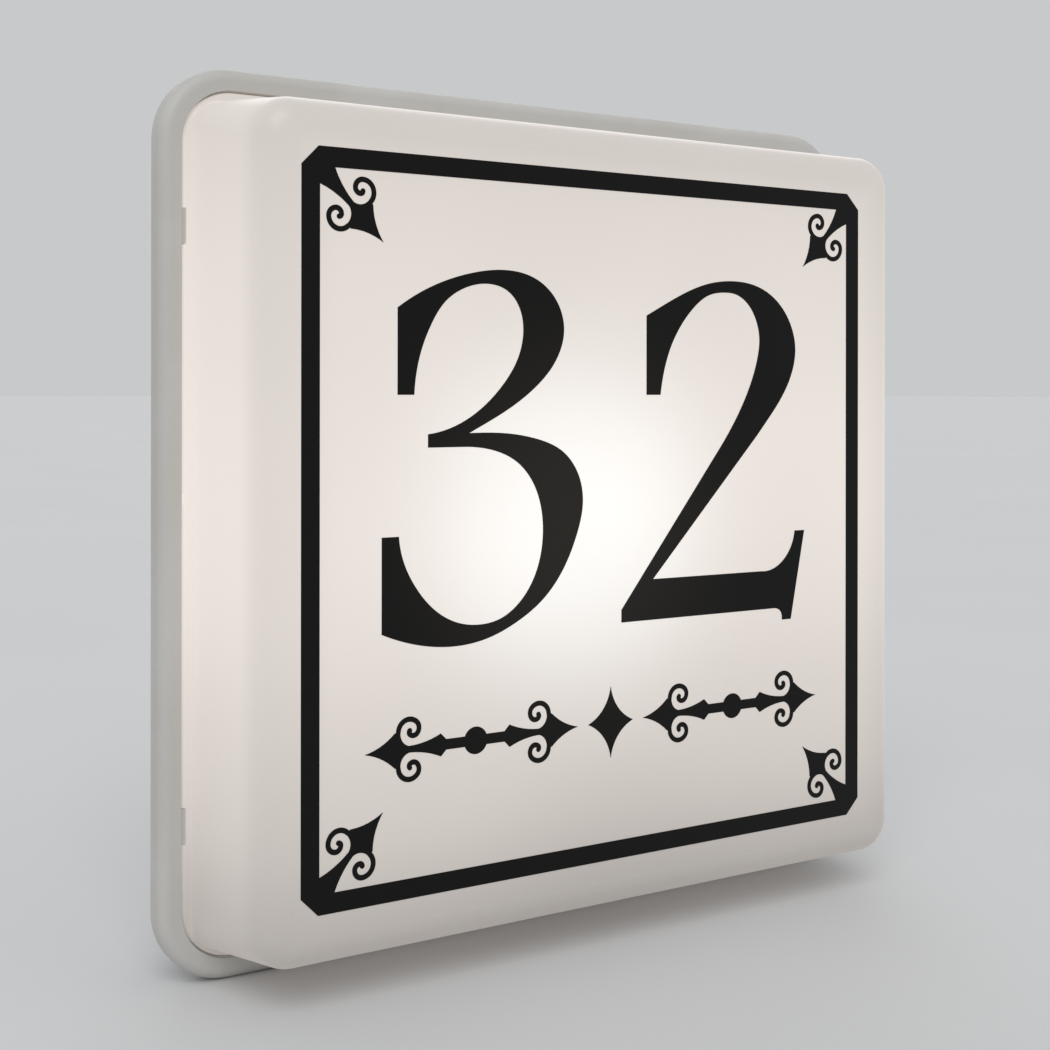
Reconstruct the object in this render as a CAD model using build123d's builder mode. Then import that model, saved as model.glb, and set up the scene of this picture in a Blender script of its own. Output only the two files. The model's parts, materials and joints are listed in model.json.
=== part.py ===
"""Illuminated house number sign: a square opal wall light with a number cut from black vinyl.

Millimetres. X runs to the right as seen from the front, Z is up and Y runs into the wall.
The origin is the middle of the back of the tray, which lies on the wall at Y = 0, so a depth
counted from the wall towards the viewer is a negative Y. Plane.XZ.offset(depth) is the plane
at that depth: on it a sketch has X to the right and Z up, and extrude goes to the front.
"""
import os
from math import pi, radians, sqrt, tan

from build123d import *

# ---------------------------------------------------------------- driving dimensions, tray
tray_size = 280.0          # outer square of the tray's rim
tray_corner = 22.6         # its corner radius
rim_setback = 25.0         # how far the back of the rim stands off the wall
rim_height = 8.0           # from the back of the rim to the top of its lip
rebate_depth = 3.0         # lip above the ledge that the cover's flange lies on
lip_width = 6.75           # lip, from the rim's edge to the ledge
lip_round = 3.5            # rounded outer edge of the lip
wall = 2.5                 # thickness of the tray's walls
rib_width = 2.0            # stiffening ribs behind the rim
ribs_per_side = 5
rib_span = 180.0           # from the first rib of a side to its last

# ---------------------------------------------------------------- driving dimensions, cover
flange_gap = 0.6           # between the flange's edge and the lip
flange_corner = 16.2
flange_thickness = 2.5
flange_width = 3.15        # from the flange's edge to the cover's wall
flange_round = 0.8
cover_height = 45.5        # from the back of the flange to the face
cover_corner = 8.0         # of the wall at its foot
face_corner = 13.0         # of the wall where it would meet the face without its soft edge
cover_draft = 5.3          # degrees
face_round = 9.2           # soft edge round the face
cover_wall = 2.5
foot_round = 1.0           # where the wall grows out of the flange
spigot_depth = 6.0         # skirt that plugs into the tray
spigot_wall = 2.0
spigot_inset = 5.3         # from the cover's outer wall to the skirt's outer face
spigot_corner = 10.2
spigot_gap = 0.3           # between the skirt and the tray
notch_length = 11.4        # key notches in the flange's edge, two on each side
notch_depth = 1.1
notch_offset = 91.0        # from the middle of a side
key_gap = 0.3              # between a notch and the tray's key in it
gate_z = 8.0               # trimmed stub of the moulding's gate, on the flange's left edge
gate_length = 3.0
gate_gap = 0.15            # between that stub and the lip

# ---------------------------------------------------------------- driving dimensions, seal
seal_width = 3.0
seal_height = 1.2
seal_inset = 4.25          # from the ledge's outer edge to the seal

# ---------------------------------------------------------------- driving dimensions, artwork
film = 0.15                # thickness of the black film
border_margin = 14.86      # from the cover's front outline to the printed border
border_line = 5.93
border_chamfer = 5.5
art_x = -3.56              # the artwork sits a little off the middle of the face
art_z = 0.83
design_units = 221.25      # border on the drawing that the numerals' outlines are taken from
volute_line = 1.6          # line that the ornaments' volutes are drawn with
divider_z = -66.3          # middle of the ornamental divider, from the artwork's middle
divider_tip = 90.0         # from the middle of the divider to its outer points
divider_fold = 51.5        # the two spear heads on a side mirror each other about this
divider_rule = 3.2
divider_bead = 4.2
lozenge_width = 9.0
lozenge_height = 11.5
lozenge_waist = 0.36       # how far out its hollow sides pass, as a share of width and height

# ---------------------------------------------------------------- driving dimensions, lamp
lamp_depth = 38.0          # axis of the bulb, in front of the wall
bulb_radius = 30.0
bulb_length = 109.5
neck_drop = 14.5           # joint of bulb body and dome, below the dome's middle
cap_top = 26.5             # top of the screw cap, from the tip
cap_crest = 13.1           # radius over the thread
thread_pitch = 3.629
thread_depth = 0.9
thread_turns = 5
cap_inner = 11.5
contact_radius = 4.0
button_height = 1.8
button_crown = 0.25        # how much lower the button's middle is than its shoulder
insulator_top = 6.0
insulator_edge = 1.0       # its bare ring round the button, and its straight rim above the cone
cap_lip = 1.5              # rolled foot of the cap: its width, and its height above the insulator
dome_wall = 1.2
body_wall = 1.5
body_flare = 16.0          # reach of the flare's guiding tangents
body_overlap = 0.6         # body's foot outside the thread's crest
board_thickness = 1.6
board_ledge = 2.0          # ledge of the body under the board's edge, and the gap beside it
board_hole = 2.0           # for the driver's wires
board_below_neck = 3.0     # board's face, under the joint of body and dome
led_count = 12
led_size = 3.0
led_height = 0.7
driver_width = 16.0
driver_top = 50.0
driver_gap = 0.5           # between the driver's board and the insulator under it
driver_can_radius = 2.6    # two round components on the driver's board
driver_can_height = 5.0
driver_cans = [(-2.0, 0.0), (3.0, 12.0)]  # sideways, and above the top of the screw cap

# ---------------------------------------------------------------- driving dimensions, holder
holder_radius = 20.0
holder_upper_radius = 17.2
holder_skirt = 16.0        # height of the wide lower part
holder_height = 41.0
holder_core_radius = 16.5
holder_core_height = 11.0
core_gap = 0.1
shell_gap = 0.25           # between the bulb's thread and the threaded shell
shell_wall = 0.8
shell_height = 24.0
shell_seat_gap = 0.2
plunger_head_radius = 3.5
plunger_head = 1.5
plunger_stem_radius = 1.6
plunger_stem = 8.0
plunger_gap = 0.1
plunger_travel = 0.8
plunger_clear = 1.5        # from the core to the underside of the plunger's head
grip_ribs = 24
grip_radius = 0.7
grip_start = 2.0           # from the shelf to the foot of the ribs
grip_length = 11.0
core_chamfer = 0.6
plunger_chamfer = 0.4
sleeve_shoulder = 1.5      # chamfer on the wide lower part
sleeve_lip = 1.0           # chamfer on the sleeve's mouth
sleeve_step = 1.0          # height of the cone that leads from the core to the shell's seat

# ---------------------------------------------------------------- driving dimensions, bracket
bracket_width = 42.0
bracket_thickness = 1.5
bracket_bend = 3.0
bracket_corner = 5.0
bracket_standoff = 6.5     # from the wall to the back of the bracket's foot
bracket_foot = 34.0        # height of the foot above the shelf
shelf_front_margin = 3.0   # shelf in front of the holder
lead_hole_radius = 7.0
foot_screw_offset = 13.0
foot_screw_height = 22.0   # above the shelf
holder_screw_offset = 12.0

# ---------------------------------------------------------------- driving dimensions, screws
screw_radius = 1.45
screw_hole = 1.7           # clearance hole for a screw
pilot_radius = 1.5
head_radius = 2.8
head_height = 1.9
head_chamfer = 0.4
head_room = 0.2            # round a screw's head in a counterbore
slot_width = 0.8
slot_depth = 1.0
boss_radius = 4.0
screw_bite = 5.0           # depth of the hole in a boss, plinth or core
screw_spare = 0.5          # bottom of that hole, past the screw's end

# ---------------------------------------------------------------- driving dimensions, electrics
electrics_x = -80.0        # middle of terminal block, clamp and cable entry
pole_count = 3
pole_pitch = 12.0
block_length = 20.0
block_height = 14.0
block_z = -55.0
plinth_height = 3.5
plinth_corner = 2.0
barrel_wall = 1.0          # plastic round each insert
strip_inset = 0.5          # the strip under the barrels ends this far inside the plinth
insert_radius = 2.6
insert_inset = 1.0         # from the block's end to the insert's
insert_bore = 1.6
pole_round = 3.6
pole_screw_radius = 1.7
pole_screw_room = 0.5      # round the screw in its tower
pole_screw_start = 0.4     # from the pole's axis to the screw's end
pole_screw_sunk = 1.0      # from the tower's top to the screw's head
clamp_z = -34.0
clamp_screw_offset = 10.0
clamp_bar_width = 8.0
clamp_bar_thickness = 3.0
clamp_corner = 2.0
clamp_tooth = 0.8          # height of the teeth that bite the sheath
clamp_tooth_width = 0.9
clamp_teeth = 3
cable_room = 8.0           # height of the cable's way under the clamp
entry_z = -12.0
entry_radius = 8.0
grommet_bore = 3.9
grommet_lip = 3.0
grommet_lip_height = 1.5
entry_pad = 5.0            # thickness of the floor round the cable entry
grommet_snout = 14.0       # from the wall to the top of the snout
grommet_snout_wall = 1.2
grommet_barb = 2.0         # how far its inner lip stands out, over the pad
grommet_barb_edge = 1.5    # thickness of that lip at its edge
grommet_barb_foot = 2.5    # and at its root
lead_radius = 1.1
lead_bend = 6.0
lead_spread = 3.5          # from the lamp's axis to each lead, under the holder
lead_start = 14.0          # straight run below the block
lead_slant = 16.0          # sideways shift of the slanting run
lead_rise = 10.0           # from the lowest run up to the end of the slanting one
lead_reach = 42.0          # from the pole to the start of the level run
lead_forward = 3.0         # the level run starts this far in front of the pole
lead_front = 8.0           # and ends this far in front of it
lead_spacing = 6.0         # between the two leads' lowest runs, one above the other

# ---------------------------------------------------------------- driving dimensions, wall fixing
fixing_spacing = 180.0     # between the fixing slots, both ways
fixing_radius = 2.6
fixing_slot = 12.0         # end to end
fixing_pad_radius = 9.0
fixing_pad = 1.0           # raised pad round each slot, inside

# ---------------------------------------------------------------- derived places
ledge = rim_setback + rim_height - rebate_depth
lip_top = rim_setback + rim_height
rebate_size = tray_size - 2 * lip_width
rebate_corner = flange_corner + flange_gap
flange_size = rebate_size - 2 * flange_gap
flange_front = ledge + flange_thickness
cover_size = flange_size - 2 * flange_width
face = ledge + cover_height
draft_in = (face - flange_front) * tan(radians(cover_draft))
face_size = cover_size - 2 * draft_in
spigot_size = cover_size - 2 * spigot_inset
pan_inner = spigot_size + 2 * spigot_gap
pan_inner_corner = spigot_corner + spigot_gap
pan_size = pan_inner + 2 * wall
pan_corner = pan_inner_corner + wall
seal_outer = rebate_size - 2 * seal_inset
seal_corner = rebate_corner - seal_inset
border_size = face_size - 2 * border_margin
border_inner = border_size - 2 * border_line
sheet_scale = border_size / design_units

bulb_top = bulb_radius
bulb_tip = bulb_top - bulb_length
shelf_top = bulb_tip - plunger_head - plunger_clear - holder_core_height
shelf_bottom = shelf_top - bracket_thickness
shelf_front = lamp_depth + holder_radius + shelf_front_margin
core_top = shelf_top + holder_core_height
foot_screw_z = shelf_top + foot_screw_height
plinth_top = wall + plinth_height
pole_depth = plinth_top + block_height / 2
block_bottom = block_z - block_length / 2
clamp_boss_top = wall + cable_room
lead_middle = (shelf_bottom - pan_inner / 2) / 2

lamp_axis = Axis((0, -lamp_depth, 0), (0, 0, 1))
lamp_plane = Plane(origin=(0, -lamp_depth, 0), x_dir=(1, 0, 0), z_dir=(0, -1, 0))

os.makedirs("parts", exist_ok=True)


def at_depth(depth, turn=0):
    """Plane parallel to the wall, this far in front of it, turned about the sign's middle."""
    return Plane.XZ.offset(depth).rotated((0, turn, 0))


def at_height(height):
    """Level plane at this height, with its origin on the lamp's axis."""
    return Plane(origin=(0, -lamp_depth, height), x_dir=(1, 0, 0), z_dir=(0, 0, 1))


def on_sheet(*points):
    """Points of the drawing, plotted on the face."""
    return [(art_x + sheet_scale * x, art_z + sheet_scale * z) for x, z in points]


def hand_in(part, name):
    """Name a finished piece and write it."""
    part.label = name
    export_step(part, f"parts/{name}.step")


def slotted_screws(places, plane, shank_radius, shank_length):
    """Slotted cheese-head screws whose heads stand on a plane and whose shanks run behind it."""
    with BuildPart() as screws:
        with BuildSketch(plane):
            with Locations(*places):
                Circle(head_radius)
        extrude(amount=head_height)
        chamfer(screws.faces().sort_by(Axis(plane.origin, plane.z_dir))[-len(places):].edges(), head_chamfer)
        with BuildSketch(plane):
            with Locations(*places):
                Circle(shank_radius)
        extrude(amount=-shank_length)
        with BuildSketch(plane.offset(head_height - slot_depth)):
            with Locations(*places):
                Rectangle(2 * head_radius, slot_width)
        extrude(amount=slot_depth, mode=Mode.SUBTRACT)
    return screws.part


# ================================================================ base tray
key_places = []
for along in (-notch_offset, notch_offset):
    key_places.append((along, 0))
side_turns = (0, 90, 180, 270)
slot_places = GridLocations(fixing_spacing, fixing_spacing, 2, 2)
foot_screws_at = [(-foot_screw_offset, foot_screw_z), (foot_screw_offset, foot_screw_z)]
holder_screws_at = [(-holder_screw_offset, 0), (holder_screw_offset, 0)]
clamp_screws_at = [
    (electrics_x - clamp_screw_offset, clamp_z),
    (electrics_x + clamp_screw_offset, clamp_z),
]
block_width = pole_count * pole_pitch
block_screws_at = []
for gap in range(1, pole_count):
    block_screws_at.append((electrics_x - block_width / 2 + gap * pole_pitch, block_z))

with BuildPart() as base_tray:
    # pan that lies on the wall
    with BuildSketch(at_depth(0)):
        RectangleRounded(pan_size, pan_size, pan_corner)
    extrude(amount=ledge)
    # rim, with its rounded lip
    with BuildSketch(at_depth(rim_setback)):
        RectangleRounded(tray_size, tray_size, tray_corner)
    extrude(amount=rim_height)
    fillet(base_tray.faces().sort_by(Axis.Y)[0].edges(), lip_round)
    # inside of the pan, and the ledge that the cover's flange lies on
    with BuildSketch(at_depth(wall)):
        RectangleRounded(pan_inner, pan_inner, pan_inner_corner)
    extrude(amount=lip_top, mode=Mode.SUBTRACT)
    with BuildSketch(at_depth(ledge)):
        RectangleRounded(rebate_size, rebate_size, rebate_corner)
    extrude(amount=lip_top, mode=Mode.SUBTRACT)
    # groove for the seal
    with BuildSketch(at_depth(ledge - seal_height)):
        RectangleRounded(seal_outer, seal_outer, seal_corner)
        RectangleRounded(
            seal_outer - 2 * seal_width,
            seal_outer - 2 * seal_width,
            seal_corner - seal_width,
            mode=Mode.SUBTRACT,
        )
    extrude(amount=seal_height, mode=Mode.SUBTRACT)
    # the rim is hollow behind, between the pan and its own outer wall
    with BuildSketch(at_depth(rim_setback)):
        RectangleRounded(tray_size - 2 * wall, tray_size - 2 * wall, tray_corner - wall)
        RectangleRounded(pan_size, pan_size, pan_corner, mode=Mode.SUBTRACT)
    extrude(amount=ledge - wall - rim_setback, mode=Mode.SUBTRACT)
    # stiffening ribs across that hollow
    rib_step = rib_span / (ribs_per_side - 1)
    rib_middle = (pan_size + tray_size) / 4
    for turn in side_turns:
        with BuildSketch(at_depth(rim_setback, turn)):
            with Locations((0, rib_middle)):
                with GridLocations(rib_step, 1, ribs_per_side, 1):
                    Rectangle(rib_width, (tray_size - pan_size) / 2 - wall)
        extrude(amount=ledge - wall - rim_setback)
    # keys that stand in the flange's notches
    for turn in side_turns:
        with BuildSketch(at_depth(ledge, turn)):
            with Locations((0, rebate_size / 2)):
                with Locations(*key_places):
                    Rectangle(notch_length - 2 * key_gap, 2 * (flange_gap + notch_depth - key_gap))
        extrude(amount=flange_thickness)
    # pads round the fixing slots, and the slots themselves
    with BuildSketch(at_depth(wall)):
        with slot_places:
            Circle(fixing_pad_radius)
    extrude(amount=fixing_pad)
    with BuildSketch(at_depth(0)):
        with slot_places:
            SlotOverall(fixing_slot, 2 * fixing_radius)
    extrude(amount=wall + fixing_pad, mode=Mode.SUBTRACT)
    # bosses for the bracket and for the cable clamp
    with BuildSketch(at_depth(wall)):
        with Locations(*foot_screws_at):
            Circle(boss_radius)
    extrude(amount=bracket_standoff - wall)
    with BuildSketch(at_depth(wall)):
        with Locations(*clamp_screws_at):
            Circle(boss_radius)
    extrude(amount=cable_room)
    # plinth for the terminal block
    with BuildSketch(at_depth(wall)):
        with Locations((electrics_x, block_z)):
            RectangleRounded(block_width, block_length, plinth_corner)
    extrude(amount=plinth_height)
    # screw holes in bosses and plinth
    with BuildSketch(at_depth(bracket_standoff)):
        with Locations(*foot_screws_at):
            Circle(pilot_radius)
    extrude(amount=-screw_bite, mode=Mode.SUBTRACT)
    with BuildSketch(at_depth(clamp_boss_top)):
        with Locations(*clamp_screws_at):
            Circle(pilot_radius)
    extrude(amount=-screw_bite, mode=Mode.SUBTRACT)
    with BuildSketch(at_depth(plinth_top)):
        with Locations(*block_screws_at):
            Circle(pilot_radius)
    extrude(amount=-screw_bite, mode=Mode.SUBTRACT)
    # thick pad round the cable entry, with a recess for the grommet's back lip
    with BuildSketch(at_depth(wall)):
        with Locations((electrics_x, entry_z)):
            Circle(entry_radius + grommet_lip + wall)
    extrude(amount=entry_pad - wall)
    with BuildSketch(at_depth(0)):
        with Locations((electrics_x, entry_z)):
            Circle(entry_radius)
    extrude(amount=entry_pad, mode=Mode.SUBTRACT)
    with BuildSketch(at_depth(0)):
        with Locations((electrics_x, entry_z)):
            Circle(entry_radius + grommet_lip)
    extrude(amount=grommet_lip_height, mode=Mode.SUBTRACT)
hand_in(base_tray.part, "base_tray")

# ================================================================ seal
with BuildPart() as seal:
    with BuildSketch(at_depth(ledge - seal_height)):
        RectangleRounded(seal_outer, seal_outer, seal_corner)
        RectangleRounded(
            seal_outer - 2 * seal_width,
            seal_outer - 2 * seal_width,
            seal_corner - seal_width,
            mode=Mode.SUBTRACT,
        )
    extrude(amount=seal_height)
hand_in(seal.part, "seal")

# ================================================================ opal cover
cover_inner_front = face - cover_wall
with BuildPart() as cover:
    # flange
    with BuildSketch(at_depth(ledge)):
        RectangleRounded(flange_size, flange_size, flange_corner)
    extrude(amount=flange_thickness)
    fillet(cover.faces().sort_by(Axis.Y)[0].edges(), flange_round)
    # drafted box with a soft front edge, its corners rounder towards the face
    with BuildSketch(at_depth(flange_front)):
        RectangleRounded(cover_size, cover_size, cover_corner)
    with BuildSketch(at_depth(face)):
        RectangleRounded(face_size, face_size, face_corner)
    loft(ruled=True)
    foot_edges = cover.faces().filter_by(Axis.Y).sort_by(Axis.Y)[1].inner_wires().edges()
    fillet(foot_edges, foot_round)
    fillet(cover.faces().sort_by(Axis.Y)[0].edges(), face_round)
    # hollow
    with BuildPart(mode=Mode.SUBTRACT) as hollow:
        for depth, size, corner in (
            (flange_front, cover_size, cover_corner),
            (cover_inner_front, face_size, face_corner),
        ):
            with BuildSketch(at_depth(depth)):
                RectangleRounded(size - 2 * cover_wall, size - 2 * cover_wall, corner - cover_wall)
        loft(ruled=True)
        fillet(hollow.faces().sort_by(Axis.Y)[0].edges(), face_round - cover_wall)
    # skirt that plugs into the tray
    with BuildSketch(at_depth(ledge - spigot_depth)):
        RectangleRounded(spigot_size, spigot_size, spigot_corner)
    extrude(amount=spigot_depth)
    with BuildSketch(at_depth(ledge - spigot_depth)):
        RectangleRounded(
            spigot_size - 2 * spigot_wall, spigot_size - 2 * spigot_wall, spigot_corner - spigot_wall
        )
    extrude(amount=spigot_depth + flange_thickness, mode=Mode.SUBTRACT)
    # key notches in the flange's edge
    for turn in side_turns:
        with BuildSketch(at_depth(ledge, turn)):
            with Locations((0, flange_size / 2)):
                with Locations(*key_places):
                    Rectangle(notch_length, 2 * notch_depth)
        extrude(amount=flange_thickness, mode=Mode.SUBTRACT)
    # stub of the gate that the plastic came in through
    with BuildSketch(at_depth(ledge)):
        with Locations((-flange_size / 2, gate_z)):
            Rectangle(2 * (flange_gap - gate_gap), gate_length)
    extrude(amount=flange_thickness)
hand_in(cover.part, "cover")

# ================================================================ corner ornament
# Drawn in the border's inner lower left corner: a stem that grows out of the corner, a spear
# head and two volutes, alike on both sides of the diagonal. In the drawing's units up to the
# scale at the end.
drawn_line = volute_line / sheet_scale
with BuildSketch() as volute:
    with BuildLine():
        CenterArc((13.9, 6.55), 3.75, 45, -135)
        CenterArc((13.9, 5.2), 2.4, -90, -90)
        CenterArc((13.25, 5.2), 1.75, 180, -90)
        CenterArc((13.25, 6.2), 0.75, 90, -90)
    trace(line_width=drawn_line)
    with Locations((14.0, 6.2)):
        Circle(drawn_line / 2)

diagonal = Plane(origin=(0, 0, 0), x_dir=(1, 1, 0), z_dir=(1, -1, 0))
with BuildSketch() as half_spear:
    with BuildLine():
        Polyline((20.9, 20.9), (0, 0), (4.9, 0))
        Spline((4.9, 0), (7.2, 4.7), (10.9, 9.5))
        ThreePointArc((10.9, 9.5), (13.3, 10.12), (16.1, 8.6))
        Line((16.1, 8.6), (17.4, 10.0))
        Spline((17.4, 10.0), (18.0, 14.4), (20.9, 20.9))
    make_face()
with BuildSketch() as drawn_ornament:
    add(half_spear.sketch)
    add(volute.sketch)
    mirror(about=diagonal)
corner_ornament = drawn_ornament.sketch.scale(sheet_scale)

# ================================================================ black film on the face
# border with cut corners and an ornament in each of them
with BuildPart() as border:
    with BuildSketch(at_depth(face)):
        with Locations((art_x, art_z)):
            border_outline = Rectangle(border_size, border_size)
            chamfer(border_outline.vertices(), border_chamfer)
            Rectangle(border_inner, border_inner, mode=Mode.SUBTRACT)
            for turn in side_turns:
                with Locations(Location((0, 0, 0), (0, 0, turn))):
                    with Locations((-border_inner / 2, -border_inner / 2)):
                        add(corner_ornament)
    extrude(amount=film)
hand_in(border.part, "film_border")

with BuildPart() as numeral_three:
    with BuildSketch(at_depth(face)):
        with BuildLine():
            Spline(*on_sheet(
                (-79.0, 64.9), (-66.4, 71.9), (-54.4, 75.8), (-41.4, 77.5), (-29.4, 75.2),
                (-21.9, 69.2), (-18.6, 59.7), (-21.2, 50.7), (-29.4, 41.5), (-41.4, 33.6), (-53.9, 27.4),
            ))
            Spline(*on_sheet(
                (-53.9, 27.4), (-42.4, 27.3), (-29.4, 25.4), (-18.4, 20.7), (-12.7, 13.2), (-11.2, 4.7),
                (-13.4, -4.8), (-18.4, -15.3), (-26.4, -24.8), (-36.4, -31.3), (-46.4, -35.3),
                (-57.4, -37.0), (-68.4, -36.3), (-84.3, -31.6),
            ))
            Polyline(*on_sheet((-84.3, -31.6), (-84.3, -3.0), (-78.5, -3.0)))
            Spline(*on_sheet(
                (-78.5, -3.0), (-76.4, -11.8), (-72.4, -18.8), (-66.4, -25.3), (-58.4, -29.8),
                (-49.9, -31.1), (-42.4, -29.8), (-35.4, -25.3), (-30.4, -18.8), (-26.6, -3.8),
                (-30.4, 11.7), (-36.4, 18.2), (-43.4, 21.5), (-56.4, 23.2),
            ))
            Polyline(*on_sheet((-56.4, 23.2), (-68.5, 23.2), (-68.5, 27.2)))
            Spline(*on_sheet(
                (-68.5, 27.2), (-56.4, 30.7), (-48.4, 35.7), (-41.4, 42.4), (-36.4, 49.7),
                (-34.1, 59.7), (-35.4, 65.7), (-39.4, 70.7), (-47.4, 73.0), (-55.4, 71.5),
                (-62.4, 67.2), (-67.4, 60.2), (-70.9, 52.2), (-73.3, 39.0),
            ))
            Polyline(*on_sheet((-73.3, 39.0), (-79.0, 39.0), (-79.0, 64.9)))
        make_face()
    extrude(amount=film)
hand_in(numeral_three.part, "numeral_three")

with BuildPart() as numeral_two:
    with BuildSketch(at_depth(face)):
        with BuildLine():
            Spline(*on_sheet(
                (14.5, 64.9), (28.6, 71.9), (40.6, 76.2), (52.6, 77.5), (62.6, 76.1), (71.6, 71.4),
                (77.6, 64.2), (80.2, 55.2), (78.4, 46.2), (73.1, 37.2), (62.6, 25.2),
            ))
            Polyline(*on_sheet((62.6, 25.2), (17.3, -21.3), (64.6, -21.5)))
            Spline(*on_sheet((64.6, -21.5), (72.1, -20.0), (77.1, -15.6), (80.0, -8.2)))
            Polyline(*on_sheet((80.0, -8.2), (84.5, -8.2), (78.2, -38.8), (74.1, -38.8)))
            Spline(*on_sheet((74.1, -38.8), (73.4, -35.8), (70.8, -34.6)))
            Polyline(*on_sheet((70.8, -34.6), (4.3, -34.6), (4.3, -30.5), (47.6, 23.2)))
            Spline(*on_sheet(
                (47.6, 23.2), (53.6, 31.7), (59.6, 42.7), (63.0, 52.7), (63.6, 58.2), (62.6, 63.2),
                (58.6, 69.7), (53.1, 73.0), (48.1, 73.5), (40.6, 72.2), (34.6, 68.2), (28.6, 61.5),
                (24.6, 54.7), (21.9, 47.2), (20.3, 39.0),
            ))
            Polyline(*on_sheet((20.3, 39.0), (14.5, 39.0), (14.5, 64.9)))
        make_face()
    extrude(amount=film)
hand_in(numeral_two.part, "numeral_two")

# ornamental divider under the number: a lozenge between two rules that end in spear heads
ornament_length = corner_ornament.bounding_box().max.X * sqrt(2)
head_root = divider_tip - ornament_length
rule_end = head_root + divider_rule
with BuildSketch() as divider_arm:
    with Locations(Location((head_root, 0, 0), (0, 0, -45))):
        add(corner_ornament)
    with Locations(((divider_fold + rule_end) / 2, 0)):
        Rectangle(rule_end - divider_fold, divider_rule)
    with Locations((divider_fold, 0)):
        Circle(divider_bead)
    mirror(about=Plane.YZ.offset(divider_fold))
lozenge_side = (lozenge_waist * lozenge_width, lozenge_waist * lozenge_height)
with BuildSketch() as lozenge:
    with BuildLine():
        ThreePointArc((0, lozenge_height), lozenge_side, (lozenge_width, 0))
        ThreePointArc((lozenge_width, 0), (lozenge_side[0], -lozenge_side[1]), (0, -lozenge_height))
        Line((0, -lozenge_height), (0, lozenge_height))
    make_face()
with BuildSketch() as divider_outline:
    add(divider_arm.sketch)
    add(lozenge.sketch)
    mirror(about=Plane.YZ)
with BuildPart() as divider:
    with BuildSketch(at_depth(face)):
        with Locations((art_x, art_z + divider_z)):
            add(divider_outline.sketch)
    extrude(amount=film)
hand_in(divider.part, "film_divider")

# ================================================================ lamp holder bracket
with BuildPart() as holder_bracket:
    # an L of folded sheet: the foot stands on the tray's bosses, the shelf carries the holder
    with BuildSketch(Plane.YZ.offset(-bracket_width / 2)):
        with BuildLine():
            FilletPolyline(
                (-bracket_standoff - bracket_thickness, shelf_top + bracket_foot),
                (-bracket_standoff - bracket_thickness, shelf_top),
                (-shelf_front, shelf_top),
                radius=bracket_bend,
            )
            Line((-shelf_front, shelf_top), (-shelf_front, shelf_bottom))
            FilletPolyline(
                (-shelf_front, shelf_bottom),
                (-bracket_standoff, shelf_bottom),
                (-bracket_standoff, shelf_top + bracket_foot),
                radius=bracket_bend + bracket_thickness,
            )
            Line(
                (-bracket_standoff, shelf_top + bracket_foot),
                (-bracket_standoff - bracket_thickness, shelf_top + bracket_foot),
            )
        make_face()
    extrude(amount=bracket_width)
    # round the free corners of foot and shelf
    free_corners = holder_bracket.edges().filter_by(Axis.Y).sort_by(Axis.Z)[-2:]
    fillet(free_corners, bracket_corner)
    shelf_corners = holder_bracket.edges().filter_by(Axis.Z).sort_by(Axis.Y)[:2]
    fillet(shelf_corners, bracket_corner)
    with BuildSketch(at_depth(bracket_standoff)):
        with Locations(*foot_screws_at):
            Circle(screw_hole)
    extrude(amount=bracket_thickness, mode=Mode.SUBTRACT)
    with BuildSketch(at_height(shelf_bottom)):
        Circle(lead_hole_radius)
        with Locations(*holder_screws_at):
            Circle(screw_hole)
    extrude(amount=bracket_thickness, mode=Mode.SUBTRACT)
hand_in(holder_bracket.part, "holder_bracket")

hand_in(
    slotted_screws(
        foot_screws_at,
        at_depth(bracket_standoff + bracket_thickness),
        screw_radius,
        bracket_thickness + screw_bite - screw_spare,
    ),
    "bracket_screws",
)

# ================================================================ lamp holder
shell_outer = cap_crest + shell_gap + shell_wall + thread_depth
with BuildPart() as holder_core:
    with BuildSketch(at_height(shelf_top)):
        Circle(holder_core_radius)
    extrude(amount=holder_core_height)
    chamfer(holder_core.faces().sort_by(Axis.Z)[-1].edges(), core_chamfer)
    with BuildSketch(at_height(shelf_top)):
        with Locations(*holder_screws_at):
            Circle(pilot_radius)
    extrude(amount=screw_bite, mode=Mode.SUBTRACT)
    with BuildSketch(at_height(core_top)):
        Circle(plunger_stem_radius + plunger_gap)
    extrude(amount=-plunger_stem - plunger_travel, mode=Mode.SUBTRACT)
hand_in(holder_core.part, "holder_core")

with BuildPart() as holder_sleeve:
    with BuildSketch(lamp_plane):
        with BuildLine():
            Polyline(
                (holder_core_radius + core_gap, shelf_top),
                (holder_radius, shelf_top),
                (holder_radius, shelf_top + holder_skirt - sleeve_shoulder),
                (holder_radius - sleeve_shoulder, shelf_top + holder_skirt),
                (holder_upper_radius, shelf_top + holder_skirt),
                (holder_upper_radius, shelf_top + holder_height - sleeve_lip),
                (holder_upper_radius - sleeve_lip, shelf_top + holder_height),
                (shell_outer + shell_seat_gap, shelf_top + holder_height),
                (shell_outer + shell_seat_gap, core_top + sleeve_step),
                (holder_core_radius + core_gap, core_top),
                close=True,
            )
        make_face()
    revolve(axis=lamp_axis)
    # grip ribs round the lower part
    with BuildSketch(at_height(shelf_top + grip_start)):
        with PolarLocations(holder_radius, grip_ribs):
            Circle(grip_radius)
    extrude(amount=grip_length)
hand_in(holder_sleeve.part, "holder_sleeve")

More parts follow.
